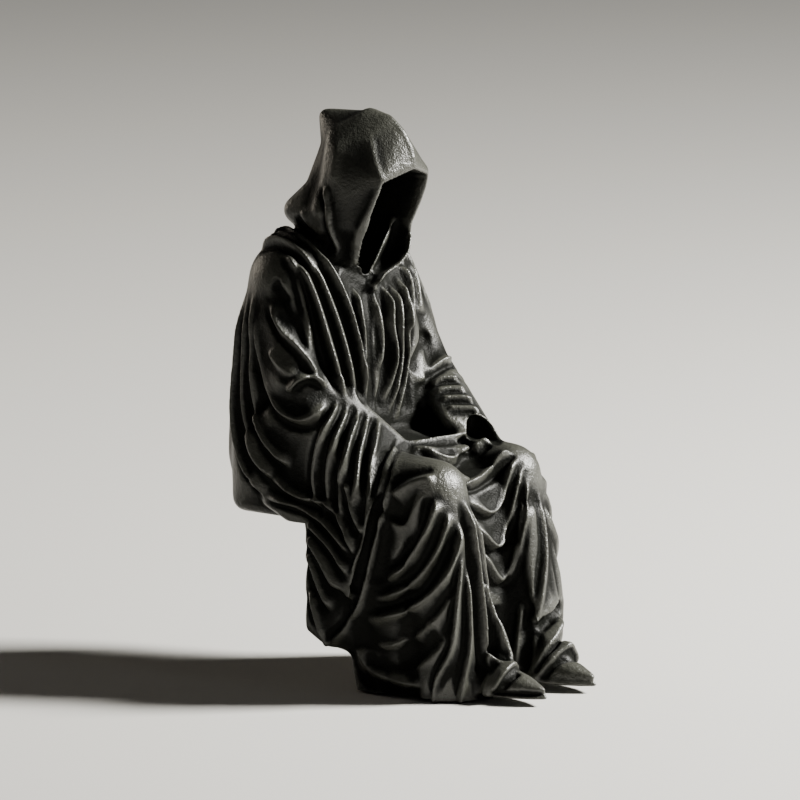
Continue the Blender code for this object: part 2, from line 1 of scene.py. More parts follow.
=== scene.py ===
# %% [markdown]
# # A seated grim reaper in black resin
#
# The real thing is one casting: a hooded robe that sits over the edge of a ledge. There is no
# body inside, so the cloth is the whole object. A sculptor would block out the big masses,
# join them, and only then cut the folds, and this lesson goes the same way.

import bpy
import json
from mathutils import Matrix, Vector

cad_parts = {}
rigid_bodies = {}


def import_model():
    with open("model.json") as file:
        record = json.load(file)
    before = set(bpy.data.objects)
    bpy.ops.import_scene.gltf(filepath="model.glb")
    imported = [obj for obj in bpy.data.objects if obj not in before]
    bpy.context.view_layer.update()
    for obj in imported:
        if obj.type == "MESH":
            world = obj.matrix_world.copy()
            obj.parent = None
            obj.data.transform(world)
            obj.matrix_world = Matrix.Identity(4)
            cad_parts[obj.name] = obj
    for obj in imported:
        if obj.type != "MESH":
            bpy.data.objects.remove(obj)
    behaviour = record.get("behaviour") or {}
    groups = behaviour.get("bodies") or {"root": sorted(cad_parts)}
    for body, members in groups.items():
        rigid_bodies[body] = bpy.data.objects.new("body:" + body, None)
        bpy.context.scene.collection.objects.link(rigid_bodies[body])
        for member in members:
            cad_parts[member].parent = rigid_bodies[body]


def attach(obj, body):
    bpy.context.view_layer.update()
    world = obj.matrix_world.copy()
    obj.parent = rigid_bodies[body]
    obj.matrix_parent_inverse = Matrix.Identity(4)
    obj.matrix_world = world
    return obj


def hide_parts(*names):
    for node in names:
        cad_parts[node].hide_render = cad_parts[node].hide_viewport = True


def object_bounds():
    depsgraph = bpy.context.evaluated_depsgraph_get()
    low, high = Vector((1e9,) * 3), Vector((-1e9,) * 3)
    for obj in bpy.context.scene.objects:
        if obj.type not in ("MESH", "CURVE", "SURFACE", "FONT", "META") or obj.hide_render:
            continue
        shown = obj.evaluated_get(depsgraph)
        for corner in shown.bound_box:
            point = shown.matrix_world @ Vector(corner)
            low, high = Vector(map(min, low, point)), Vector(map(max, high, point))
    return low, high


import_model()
solid_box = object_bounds()
print("solid from", *[round(v, 4) for v in solid_box[0]], "to", *[round(v, 4) for v in solid_box[1]])

# %% [markdown]
# The figure is made with Blender's own modules. Numpy does the arithmetic on many vertices at
# once, and a BVH tree finds the nearest place on a skin quickly.

# %% The rest of what the lesson needs
import json
import math

import bmesh
import bpy
import numpy as np
from mathutils import Matrix, Vector
from mathutils.bvhtree import BVHTree

# %% [markdown]
# ## Sizes
#
# One number sets the height of the figure. Everything that is carved follows it, because a
# figure keeps its proportions when it is made larger or smaller. The voxel is the size of the
# smallest step that the cloth can take. A little under half a millimetre is fine enough for
# every fold, and the last skin is made a bit finer still.

# %% Sizes
FIGURE_HEIGHT = 0.1515
UNITS_TALL = 151.5
UNIT = FIGURE_HEIGHT / UNITS_TALL
CLOTH_VOXEL = 0.00045
print("one unit is", UNIT, "m, so the figure is", round(FIGURE_HEIGHT * 1000), "mm tall")

# %% [markdown]
# ## Landmarks
#
# A place on the figure is written as (x, forward, up), in units. Forward is measured from the
# edge of the ledge and up from the seat, because those two are what a hand would measure from.
# The origin is the middle of the seat, behind that edge. Most of the hood and the skirt is the
# same on both sides, so one ball can stand for two.

# %% From landmarks to places
SEAT_MIDDLE = -14.0


def place(x, forward, up):
    return Vector((x, SEAT_MIDDLE - forward, up)) * UNIT


def both(*balls):
    return [(side * x, f, z, r) for x, f, z, r in balls for side in ((-1, 1) if x else (1,))]


print("the ledge's edge is at y =", round(place(0, 0, 0).y, 4))

# %% [markdown]
# ## Blocking out with balls
#
# A shoulder, a knee or the end of a sleeve is close to a ball. The skin stretched over a few
# balls, their convex hull, gives a limb or a flap of cloth from a handful of numbers. It could be
# modelled face by face too, but balls are far quicker to move while the pose is being found.

# %% A hull over balls
BALL_STEPS = 3


def add_hull(mesh, balls):
    one = bmesh.new()
    for x, f, z, r in balls:
        bmesh.ops.create_icosphere(one, subdivisions=BALL_STEPS, radius=r * UNIT,
                                   matrix=Matrix.Translation(place(x, f, z)))
    found = bmesh.ops.convex_hull(one, input=one.verts[:])
    inner = [v for v in found["geom_interior"] if isinstance(v, bmesh.types.BMVert)]
    bmesh.ops.delete(one, geom=inner, context="VERTS")
    bmesh.ops.delete(one, geom=[e for e in one.edges if not e.link_faces], context="EDGES")
    bmesh.ops.recalc_face_normals(one, faces=one.faces[:])
    keep = bpy.data.meshes.new("hull")
    one.to_mesh(keep)
    one.free()
    mesh.from_mesh(keep)
    bpy.data.meshes.remove(keep)


def linked(name, mesh):
    data = bpy.data.meshes.new(name)
    mesh.to_mesh(data)
    mesh.free()
    thing = bpy.data.objects.new(name, data)
    bpy.context.scene.collection.objects.link(thing)
    return thing


def hulls(name, groups):
    mesh = bmesh.new()
    for balls in groups:
        add_hull(mesh, balls)
    return linked(name, mesh)


# %% [markdown]
# ## One skin for one garment
#
# A voxel remesh melts the hulls of a garment into a single even skin, and a smooth modifier
# rounds it. Its number of steps is worked out from a blend in units, so that a finer voxel
# doesn't make a sharper garment. Each modifier is turned into plain mesh at once.

# %% Settle modifiers, make a skin
SMOOTH_STEP = 0.5


def settle(thing):
    graph = bpy.context.evaluated_depsgraph_get()
    data = bpy.data.meshes.new_from_object(thing.evaluated_get(graph))
    thing.modifiers.clear()
    thing.data = data
    return thing


def skin(thing, voxel, blend):
    grid = thing.modifiers.new("skin", "REMESH")
    grid.mode = "VOXEL"
    grid.voxel_size = voxel
    soft = thing.modifiers.new("soft", "SMOOTH")
    soft.factor = SMOOTH_STEP
    soft.iterations = max(1, round((blend * UNIT / voxel) ** 2))
    return settle(thing)


def garment(name, blend, groups):
    thing = skin(hulls(name, groups), CLOTH_VOXEL, blend)
    print(name, "from", len(groups), "hulls,", len(thing.data.vertices), "vertices")
    return thing


# %% [markdown]
# ## Torso
#
# Under the robe there is only a hunched block: wide hips on the seat, a narrow stooping chest,
# and a back that falls straight. Two hulls share their balls at the waist, so they flow together.

# %% Torso
torso = garment("torso", blend=2.6, groups=[
    both((18, -19.5, 11, 12), (19, -1, 10, 11), (17, -19, 30, 13), (23, -24.5, 3.5, 5),
         (24, 0, 3.5, 5)),
    both((17, -19, 30, 13), (14, -2, 24, 11)) + [
        (-17, -13, 61.5, 13.5), (17, -13, 60.5, 11), (0, -15, 67, 9), (-8, -2, 50, 9), (8, -2, 50, 9)],
])

# %% [markdown]
# ## Hood
#
# The hood is a tent of cloth over nothing. Small balls make its hard front edges and large balls
# its soft sides. A second hull rounds the crown and its peak, and the last two carry the cloth
# down to the collar.

# %% Hood
hood = garment("hood", blend=1.2, groups=[
    both((0, -1, 104.9, 2.3), (0, 4.4, 103.9, 2), (0, 8.4, 100.7, 2), (0, 11.4, 97, 1.6),
         (0, 13.2, 92.8, 1), (2.6, -1.2, 104.2, 1.6), (6.2, 3.4, 99.3, 1.3), (8.5, 7.4, 93.7, 1),
         (10, 10.4, 89.6, 0.7), (5.2, -6.5, 99, 4), (9.5, -4, 90, 4.5), (10.4, 6.6, 81, 0.8),
         (10.8, 2.2, 73, 0.9), (9.4, 1, 67, 0.9), (4.8, -0.5, 63, 0.9), (9, -6, 78, 5),
         (8.4, -4.5, 95, 4.3), (10.4, 1.5, 86, 2.8)),
    both((0, -15, 103.3, 2.4), (0, -7, 97, 8.2), (0, -3.5, 103, 3.2)),
    both((0, -7.7, 95, 8), (8, -10.5, 88, 2.9), (9.8, -13, 82, 3)),
    both((8.3, -11, 87, 2.9), (10.6, -17, 79.6, 3.7), (11, -6, 80, 4.2), (9, -3, 68, 3),
         (0, -16, 78, 5)),
])

# %% [markdown]
# ## Sleeves
#
# Both arms rest on the thighs. The near sleeve is wide, hangs from the forearm like a curtain
# and ends in a pointed tail below the seat. The far sleeve is a tube that narrows to a cuff,
# with the same curtain behind it. A thin flap is a hull of small balls.

# %% Sleeves
near_sleeve = garment("near sleeve", blend=1.4, groups=[
    [(-19.5, -13, 58, 11), (-26.5, -5, 38, 8)],
    [(-26.5, -5, 38, 8), (-9, 14, 19.5, 4.2)],
    [(-26, -4, 34, 7), (-9, 14.5, 19, 4), (-20, 17, 15, 4), (-28, 20, 7, 2), (-27, -12, 6, 5),
     (-27, -14, 20, 6), (-28, 2, -3, 2.5)],
    [(-28, 20, 7, 1.8), (-30.5, 15, -18.5, 1.3), (-29, 1.5, -6, 2), (-28, 2, 2, 2.5), (-24, 16, 8, 3)],
])
far_sleeve = garment("far sleeve", blend=1, groups=[
    [(17, -12.5, 60, 10.8), (23.5, -1, 36, 7.8)],
    [(23.5, -1, 36, 7.6), (22.5, 2, 34, 6.5), (16, 21, 25.8, 2), (17, 23.8, 23.2, 1.5),
     (18, 28.4, 19.4, 1.1), (12, 20, 20.5, 4), (10, 17, 24, 3)],
    [(25, -3, 33, 6.5), (14, 22, 19, 4), (28, 18, 7, 2.5), (31, 12, -10, 1.3), (29, 1.5, -5, 2.5),
     (27, -12, 6, 5), (27, -14, 20, 6)],
])

# %% [markdown]
# ## Skirt
#
# The skirt runs over the thighs, turns down at the knees and hangs in front of the ledge. Balls
# below the hem are cut off later, because a flat cut is what the real hem looks like. The backs
# of the legs are drawn past the ledge's face for the same reason.

# %% Skirt
skirt = garment("skirt", blend=2.2, groups=[
    [(-17, -8, 11, 11), (-17, 33, 10, 10)],
    [(17, -8, 11, 11), (16.6, 32.6, 9.8, 9.7)],
    [(-17, 33, 10, 10), (-14, 37.5, -38, 10.8), (-14, 37.5, -52, 10.8)],
    [(16.6, 32.6, 9.8, 9.7), (21, 41, -24, 6), (13, 37.5, -36, 10), (13, 36.5, -52, 10)],
    [(21, 41, -24, 6), (23.5, 40.5, -36, 4.6), (16, 33, -44, 8), (20, 30, -30, 7)],
    both((14, 30, 6, 8), (10, 33, -40, 9), (10, 33, -52, 9)),
    both((19, 10, 4, 9.5), (28, -0.6, -2, 2.6), (28, -0.6, -27, 2.6), (24, 10, -30, 5), (20, 24, -30, 8),
         (20, 28, 0, 7)),
    both((28, -0.6, -27, 2.6), (26.8, 4.6, -33, 1.2), (20, 12, -30, 5), (12, 10, -22, 6)),
    both((22.5, 14, -31, 4.6), (22.5, 14.2, -37, 4.6), (22, 16.4, -46, 4.6), (19.5, 34, -40, 5),
         (19.5, 34, -52, 5), (15, 20, -26, 6), (10, 18, -30, 4)),
    both((0, 5, 12, 12), (12, 20, 9, 9)),
])

# %% [markdown]
# ## Shoes
#
# Only the pointed toes show. A shoe is a row of arches that gets narrower and lower towards the
# tip, over a thin flat sole that stands out a little. Both shoes come from one list of stations.

# %% Shoes
# A station is how far forward it is, half its width, and the height of its top.
SHOE_STATIONS = [(43, 5.6, -33.5), (50, 5.6, -34.3), (54, 5.1, -35.4), (58.6, 3.9, -36.8), (62.2, 2.1, -38.4)]
SHOE_MIDDLE = 11.0
SHOE_ROUND = 0.7
SHOE_TURNS = range(0, 181, 30)
UPPER_FOOT = -40.0
UPPER_TIP = 64.4
SOLE_MIDDLE = -41.9
SOLE_TIP = 65.2
SOLE_HALF = 0.6


def shoe_upper(side):
    balls = [(side * SHOE_MIDDLE, UPPER_TIP, UPPER_FOOT, SHOE_ROUND)]
    for forward, half, top in SHOE_STATIONS:
        for turn in SHOE_TURNS:
            turn = math.radians(turn)
            balls.append((side * (SHOE_MIDDLE + (half - SHOE_ROUND) * math.cos(turn)), forward,
                          UPPER_FOOT + (top - SHOE_ROUND - UPPER_FOOT) * math.sin(turn), SHOE_ROUND))
    return balls


def shoe_sole(side):
    balls = [(side * SHOE_MIDDLE, SOLE_TIP, SOLE_MIDDLE, SOLE_HALF)]
    for forward, half, _ in SHOE_STATIONS:
        for edge in (-1, 1):
            balls.append((side * SHOE_MIDDLE + edge * half, forward, SOLE_MIDDLE, SOLE_HALF))
    return balls


shoes = garment("shoes", blend=0.3, groups=[
    balls for side in (-1, 1) for balls in (shoe_upper(side), shoe_sole(side))
])

# %% [markdown]
# ## Edges of cloth
#
# A strip of the inner robe crosses the lap between the sleeves. Over each foot the hem is drawn
# up into thin lips. Rows of small balls follow each lip, and a few large ones inside the leg
# give the cloth behind it something to run back to.

# %% Lap strip and lifted hems
lap_strip = garment("lap strip", blend=0.6, groups=[
    [(-8, 16.5, 20.6, 1.3), (10.5, 23.5, 21.2, 1.3), (0, 18, 17, 2)],
    [(-7, 20, 18.3, 2), (6, 24.5, 17.6, 1.8)],
])
lifted_hems = garment("lifted hems", blend=0.3, groups=[
    [(-17.4, 51.2, -41.8, 0.7), (-17, 52.8, -39, 0.7), (-14.8, 53.8, -36, 0.7), (-11.3, 54.1, -34.2, 0.7),
     (-7.6, 53.2, -35.5, 0.7), (-5, 51, -39, 0.7), (-4.6, 49.5, -41.8, 0.7), (-11, 43, -32.5, 3),
     (-16, 43, -41, 2), (-7, 43, -40, 2)],
    [(-10, 45.2, -14, 0.8), (-9.4, 48.8, -25, 0.7), (-8, 51.8, -33, 0.7), (-10, 43, -27, 3)],
    [(17.4, 51.2, -41.8, 0.7), (16.8, 54.3, -36.8, 0.7), (13, 55, -32.6, 0.7), (7.4, 53, -36, 0.7),
     (5, 50, -40.5, 0.7), (4.8, 49.3, -41.8, 0.7), (12, 44, -31, 2), (16, 44, -41, 2), (7, 44, -40, 2)],
    [(21.5, 47, -26.4, 0.7), (15, 50.2, -29.2, 0.7), (10, 50.3, -32.3, 0.7), (7, 49.4, -36.5, 0.7),
     (5, 48.2, -40.8, 0.7), (20, 42, -30, 3), (14, 41, -26, 3), (8, 42, -38, 2)],
    [(9, 47.4, -27, 0.7), (15.5, 48.4, -24.8, 0.7), (22, 46.8, -22.3, 0.7), (13, 40, 0, 5),
     (20, 37, 0, 6)],
])

# %% [markdown]
# ## One body
#
# A casting has no seams, so the garments are put in one mesh and remeshed together. The remesh
# keeps only the outside of what overlaps, which a plain join would not.

# %% Join
BODY_BLEND = 0.7


def joined(name, things):
    mesh = bmesh.new()
    for thing in things:
        mesh.from_mesh(thing.data)
        bpy.data.objects.remove(thing)
    return linked(name, mesh)


garments = [torso, hood, near_sleeve, far_sleeve, skirt, shoes, lap_strip, lifted_hems]
body = skin(joined("body", garments), CLOTH_VOXEL, BODY_BLEND)
print("body:", len(body.data.vertices), "vertices")

# %% [markdown]
# ## The empty hood
#
# The face is empty: the hood is scooped out so deep that no light gets to its back. A hull that
# is larger than the opening is taken away with an exact Boolean, which keeps the opening's edge
# crisp. A black patch instead of a hollow would look flat from the side.

# %% Scoop out the face
FACE_OUT = 16
FACE_EDGE = [
    both((9.3, 10.2 + out, 88.7, 0.5), (9.6, 6.4 + out, 81.2, 0.5), (8.7, 2 + out, 73.4, 0.5),
         (6.9, 0.8 + out, 67.4, 0.5), (3.6, -0.9 + out, 64.2, 0.5), (0, 12.9 + out, 91.5, 0.5))
    for out in (0, FACE_OUT)
]
FACE_DEPTH = both((7, -6, 87, 2.6), (6, -7, 76, 2.6))


def combine(thing, other, operation):
    step = thing.modifiers.new(other.name, "BOOLEAN")
    step.object = other
    step.operation = operation
    step.solver = "EXACT"
    settle(thing)
    bpy.data.objects.remove(other)


combine(body, hulls("face", [FACE_EDGE[0] + FACE_EDGE[1] + FACE_DEPTH]), "DIFFERENCE")
print("face hollow cut,", len(body.data.vertices), "vertices")

# %% [markdown]
# ## The rolled edges in the hood
#
# Inside the opening two edges of cloth cross and meet in a point under the chin, and a shorter
# one lines the near side. Each is a chain of hulls along a line, tied back to points inside the
# figure, so that an edge stays thin while the cloth behind it is solid.

# %% Edges round the lower opening
# Each row is the radius of an edge, its landmarks, and the inner point behind each of those.
HOOD_EDGES = [
    (0.8, [(10.5, 4.2, 76.5), (10.4, 5, 72.3), (7.4, 6.4, 68.3), (4.4, 6.3, 66), (1.4, 5.8, 64.7),
           (-1.5, 5.4, 63.6), (-3.6, 5, 61.6)],
     [(12, -2, 75), (11.5, -2, 71.5), (9.5, -2, 67), (7, -2, 64), (4, -2, 62), (0, -2, 61), (-2, -2, 59)]),
    (0.8, [(-6.6, 0.2, 62.8), (-2.5, 0.9, 63.9), (-0.5, 1, 66.2), (2.8, 1, 70.5), (5.5, 0.9, 73.3),
           (8.6, 0.2, 76.4)],
     [(-6, -3, 61), (-1, -3, 61), (1, -3, 62), (5, -3, 64), (9, -3, 67), (11, -3, 74)]),
    (0.4, [(-5.6, -1.4, 74.5), (-4.6, -0.6, 69.5), (-6, -0.4, 63.2)],
     [(-10, -3, 75), (-9.5, -3, 70), (-7, -3, 63)]),
]
EDGE_ROOT = 1.2
EDGE_BLEND = 0.3


def edge_hulls():
    pieces = []
    for edge, points, roots in HOOD_EDGES:
        balls = [((*point, edge), (*root, EDGE_ROOT)) for point, root in zip(points, roots)]
        pieces.extend([*a, *b] for a, b in zip(balls[:-1], balls[1:]))
    return pieces


combine(body, skin(hulls("hood edges", edge_hulls()), CLOTH_VOXEL, EDGE_BLEND), "UNION")
print("hood edges from", len(edge_hulls()), "hulls")

# %% [markdown]
# ## The mouth of the far sleeve
#
# The far cuff is an open tube that lies on the knee. Its mouth is cut by a hull pushed into the
# cuff, deeper at the top than at its lip, so that the rim stays thin all the way round.

# %% Open the far sleeve
# Points on the near side of the mouth, their radius, and how deep the hollow goes behind each.
FAR_MOUTH = [(13, 23.6, 24.2, 0.8, 2.6), (14.5, 25.9, 23.2, 0.8, 2.2), (15.6, 28, 21.3, 0.7, 1.4),
             (16.4, 29.3, 19.6, 0.6, 0.4), (12.8, 23.4, 20.4, 0.8, 2.6)]
INWARD = Vector((0.8, -0.6, 0))
MOUTH_OUT = 6.0
CUT_BLEND = 0.5


def mouth_balls():
    balls = []
    for x, f, z, r, depth in FAR_MOUTH:
        for step in (-MOUTH_OUT, depth):
            balls.append((x + INWARD.x * step, f + INWARD.y * step, z, r))
    return balls


combine(body, hulls("mouth", [mouth_balls()]), "DIFFERENCE")
skin(body, CLOTH_VOXEL, CUT_BLEND)
print("sleeve opened,", len(body.data.vertices), "vertices")

# %% [markdown]
# ## Keep the largest part
#
# Cuts and remeshes can leave a loose crumb inside or beside the figure. Walking from vertex to
# vertex along the edges finds every separate part, and only the largest one is kept.

# %% Drop loose crumbs
def largest(thing):
    mesh = bmesh.new()
    mesh.from_mesh(thing.data)
    left = set(mesh.verts)
    pieces = []
    while left:
        piece = {left.pop()}
        edge = list(piece)
        while edge:
            vert = edge.pop()
            near = {e.other_vert(vert) for e in vert.link_edges} & left
            left -= near
            piece |= near
            edge.extend(near)
        pieces.append(piece)
    keep = max(pieces, key=len)
    bmesh.ops.delete(mesh, geom=[v for v in mesh.verts if v not in keep], context="VERTS")
    mesh.to_mesh(thing.data)
    mesh.free()
    return len(pieces)


print("parts found:", largest(body))

# %% [markdown]
# ## Folds in fans
#
# Cloth hangs from points: a shoulder, an elbow, a knee. Folds spread from there like the ribs of
# a fan, so a row names only the first and the last fold of a fan and how many there are. That
# takes fewer numbers than single folds would, and a fan stays even when it is moved.
#
# A row holds how many folds, the landmarks of the first, those of the last, the height (below
# nought for a hollow), the width, and the share of the height that the other side gets.

# %% A list of fans
FOLDS = []


def fans(area, rows):
    FOLDS.extend(rows)
    print(area, "-", sum(row[0] for row in rows), "folds in", len(rows), "fans")


# %% [markdown]
# ### Front of the robe
#
# Long folds fall from the collar and the near shoulder and draw together at the waist. The deep
# hollows between them are the opening of the robe. They are narrower than the ridges beside
# them, which makes them read as gaps rather than as valleys.

# %% Folds on the front
fans("front of the robe", [
    (3, [(-18, -18.5, 73.5), (-19, -2.5, 69), (-15, 4.5, 53), (-13, 10.5, 29.5)],
     [(-25, -6.5, 69.5), (-24, -1, 59.5), (-22, 2, 47), (-21, 8, 33)], 1.5, 0.9, 0),
    (3, [(-19.5, -19, 73), (-15.5, -17, 74.5), (-19.5, -6, 72.5), (-17, 0.5, 63.5)],
     [(-22, -21, 70.5), (-23, -13.5, 73.5), (-23, -5.5, 70.5), (-22.5, -1, 64)], 1.1, 0.9, 0.8),
    (2, [(-9.5, 2, 62.5), (-12, 5, 54.5), (-11.5, 7, 46), (-12, 7.5, 40)],
     [(-1.5, 3, 61.5), (-5, 6, 54.5), (-5, 7.5, 45), (-7.5, 8, 38.5)], 0.9, 0.8, 0),
    (1, [(-4.5, 3, 63), (-9.5, 7, 49.5), (-10, 8, 36.5), (-9.5, 8.5, 28)], None, -2.6, 1.1, 0),
    (1, [(-1, 5, 58), (-2, 7.5, 46), (-4, 8, 35.5), (-8.5, 8.5, 27)], None, -1.6, 1.1, 0),
    (3, [(3, 3, 63), (-0.5, 7, 51), (-0.5, 7.5, 40.5), (-7, 8.5, 28)],
     [(11.5, 0.5, 63.5), (6.5, 7, 47.5), (5.5, 8, 39.5), (-1, 9, 24)], 1.3, 0.9, 0),
    (2, [(15, -1, 64), (15, 1.5, 59), (10, 6, 53.5), (7.5, 7, 48.5)],
     [(23, -3.5, 62.5), (20.5, 0, 56), (18.5, 2, 49.5)], 0.8, 1.0, 0),
    (1, [(8, 6.5, 49), (5, 8, 37), (3.5, 9, 25)], None, -2.2, 1.5, 0),
])

# %% [markdown]
# ### Arms
#
# The upper arm is nearly smooth. The pinch at the elbow is what makes it look bent, so a short
# sharp fold with a hollow inside it goes there. The far forearm is gathered in short rolls.

# %% Folds on both arms
fans("near upper arm", [
    (2, [(-25.5, -10, 71.5), (-26.5, -4.5, 65.5), (-26, -3, 57.5), (-27, 0.5, 45)],
     [(-29, -9.5, 66), (-28.5, -6, 60), (-27.5, -2.5, 54), (-27.5, 1, 43)], 0.7, 0.9, 0.8),
    (1, [(-30.5, -11.5, 58), (-31.5, -7, 51.5), (-29.5, 0, 45), (-27.5, 4, 37.5)], None, 0.9, 0.9, 0),
    (1, [(-32.5, -11, 45.5), (-33.5, -6, 42), (-32.5, 0, 39.5)], None, 0.4, 1.2, 0),
    (1, [(-30, -10.5, 63.5), (-29.5, -8, 61), (-28.5, -6, 58)], None, -0.7, 1.1, 0),
    (1, [(-33.5, -3.5, 34.5), (-32.5, -0.5, 38.5), (-29, 3, 39.5), (-26, 5, 36)], None, 1.0, 0.6, 0),
    (1, [(-32.5, -1.5, 35.5), (-30, 1.5, 37.6), (-27, 4.4, 36.4)], None, -0.6, 0.6, 0),
])
fans("far arm", [
    (1, [(21, 4, 45), (13, 7, 41), (7, 8, 36.5)], None, -1.5, 1.2, 0),
    (1, [(8.5, 8.5, 32.5), (15.5, 8, 36), (21.5, 9, 38.5), (24, 8, 37)], None, 0.8, 0.9, 0),
    (1, [(11.5, 8, 33.5), (17, 9.5, 37), (22, 10, 37)], None, -1.1, 0.8, 0),
    (4, [(13, 8.5, 32), (15.5, 12, 35), (20, 14, 33.5)], [(10.5, 16.5, 27), (12, 20.5, 29), (18, 24, 26.5)],
     0.6, 0.8, 0),
])

# %% [markdown]
# ### Side and sleeve
#
# At the side the cloth drops from the shoulder and swings forward under the arm. The near
# sleeve's folds drop from the forearm and run towards its tail. Its open edge is two thin ridges
# with a deep slot between them.

# %% Folds down the side and on the near sleeve
fans("side", [
    (3, [(-25, -24, 60.5), (-27.5, -24, 43.5), (-28.5, -24.5, 26.5), (-30, -20, 12.5), (-32, -11.5, 6)],
     [(-29, -18.5, 60.5), (-30, -17.5, 44.5), (-29.5, -16, 28.5), (-32.5, -8.5, 19), (-32, -3, 15)],
     1.2, 1.2, 0.9),
    (1, [(-32.5, -11.5, 12.5), (-31.5, -0.5, 7.5), (-30.5, 8.5, 6.5), (-30.5, 14, 0), (-30.5, 18, -9)], None,
     1.4, 1.2, 0.9),
    (1, [(-32, -12.5, 6), (-31, -0.5, 4.5), (-30.5, 9, -0.5), (-31, 16, -8)], None, 1.1, 0.9, 0.9),
    (1, [(-30, -16.5, 58), (-30, -14.5, 42), (-33, -7, 30.5), (-32, 2, 28), (-24, 7, 33.5)], None,
     1.0, 1.2, 0.8),
])
fans("near sleeve", [
    (5, [(-23.5, 7, 33), (-28, 7.5, 29.5), (-31.5, 6, 23), (-31.5, 4, 11), (-31, 9, -1)],
     [(-12.5, 12.5, 28), (-20, 15.5, 22.5), (-25.5, 18.5, 16), (-29, 20.5, 8), (-30, 18, -7)],
     1.1, 0.85, 0.8),
    (1, [(-30.5, 14, 13.5), (-30.5, 15.5, 7), (-30, 19.5, -2)], None, 1.2, 0.9, 0.8),
    (1, [(-9, 16.5, 22.5), (-23.5, 22, 17), (-29, 21.5, 7), (-29.5, 19, -2.5), (-31, 15, -14)], None,
     1.0, 0.5, 0.8),
    (1, [(-8, 18.5, 20), (-24, 25, 13), (-27, 23, 3), (-28, 20.5, -7.5), (-28, 17, -21),
         (-29, 11, -27)], None, 1.2, 0.6, 0.8),
    (1, [(-16, 20.5, 19), (-25.5, 22.5, 12), (-28.5, 21.3, 3), (-29, 19.5, -6), (-29, 17.5, -13),
         (-29.5, 15, -20)], None, -1.9, 0.8, 0.8),
])
fans("behind the leg", [
    (3, [(-30.5, 0.8, 0.5), (-30.5, 4, -1.5), (-31, 10, -6), (-31.5, 15.5, -13)],
     [(-30, 0.6, -8), (-30, 2.5, -11), (-30, 5, -17), (-30, 8.5, -23)], 1.0, 1.0, 0.9),
    (2, [(-30, 1.5, -17), (-29.5, 3.5, -24), (-28.5, 5.5, -30), (-27.5, 6.5, -33)],
     [(-29, 15, -20), (-29, 15, -22), (-29, 12.5, -27), (-28, 5.5, -33)], 1.0, 0.9, 0.9),
])

# %% [markdown]
# ### Legs
#
# Swags hang from the near knee like a row of slack ropes, and upright folds run down the shin.
# Between the knees the swags are hung from both sides, so they sag to a point in the middle.
# Paths that should reach the hem run on past it, because a fold fades towards its end.

# %% Folds on the legs
fans("near leg", [
    (3, [(-24.5, 39.5, 10.5), (-25.5, 38, 3.5), (-26, 32.5, -6.5), (-27.5, 24, -13.5)],
     [(-18.5, 43.5, 4), (-22.5, 42.5, -7.5), (-26, 35, -18), (-28.5, 18.5, -24.5)], 1.5, 1.4, 0.5),
    (1, [(-23, 38, 16), (-26, 32, 14), (-27, 25.5, 9.5)], None, 0.7, 1.5, 0.5),
    (1, [(-26, 36.5, 12.5), (-26.5, 33, 6.5), (-26.5, 29, 2), (-27, 24, 3.5)], None, 0.35, 1.2, 0.5),
    (1, [(-28, 22, 3), (-28, 23.5, -6), (-28, 22, -15)], None, -0.9, 2.5, 0.8),
    (2, [(-18, 43.5, 1.5), (-21.5, 44, -16.5), (-23, 43, -30), (-25, 39, -39), (-25.5, 38, -52)],
     [(-17, 44.5, -6.5), (-18, 46, -19.5), (-19, 46.5, -30), (-21.5, 45.5, -40.5), (-22, 45, -52)],
     0.9, 0.8, 0.3),
    (1, [(-16, 43, 10), (-14, 46.5, -6), (-13.5, 49, -22), (-13.5, 49, -52)], None, 1.2, 1.0, 0),
    (1, [(-12, 43, 8), (-8, 43.5, -10), (-6, 45, -24), (-5.5, 45, -36)], None, 1.2, 0.9, 0),
    (1, [(-28.5, 15.5, -31.5), (-26.5, 18.5, -37), (-25.5, 26.5, -39.5), (-25, 36, -40.5)], None,
     1.1, 2.2, 0.9),
    (2, [(-20, 44.5, -11), (-24, 40, -21), (-26.5, 30, -29), (-27.5, 20, -31)],
     [(-21, 45, -19), (-24, 41, -29), (-26, 32, -36), (-26.5, 24, -38.5)], 0.6, 1.1, 0.5),
    (3, [(-27, 21, -32), (-26.5, 21, -38), (-26.5, 21, -52)],
     [(-25.5, 33, -34), (-25.5, 34, -41), (-26, 34, -54)], 0.4, 1.3, 0.9),
    (1, [(-28.5, 14, -28.5), (-26.5, 24, -31), (-25.5, 34, -30), (-24, 40, -24)], None, -1.1, 3.0, 0.9),
])
fans("between the knees and far leg", [
    (4, [(-11, 42, 15.5), (-0.5, 35.5, 11.5), (8.5, 34.5, 14.5), (12.5, 36.5, 18.5)],
     [(-5, 41, -4), (3.5, 40, -16), (8.5, 41.5, -5.5), (13, 41, 12.5)], 1.2, 1.0, 0),
    (2, [(13, 41, 12.5), (11.5, 42, 2), (9, 42, -8), (4.5, 40.5, -18.5)],
     [(17.5, 42.5, 8), (15, 44.5, -9), (11.5, 45.5, -21.5), (8, 47, -31.5)], 0.8, 0.9, 0),
    (1, [(10.5, 40, 10), (9, 40.5, -0.5), (6.5, 39.5, -7)], None, -2.0, 1.5, 0),
    (1, [(0, 37, -22), (0, 38, -32), (0, 38, -44)], None, -3.0, 2.0, 0),
])

# %% [markdown]
# ### Feet
#
# A hem that is drawn up shows its thickness: a low rim along the edge and a groove just under
# it. The same groove runs round each sole where it meets the upper.

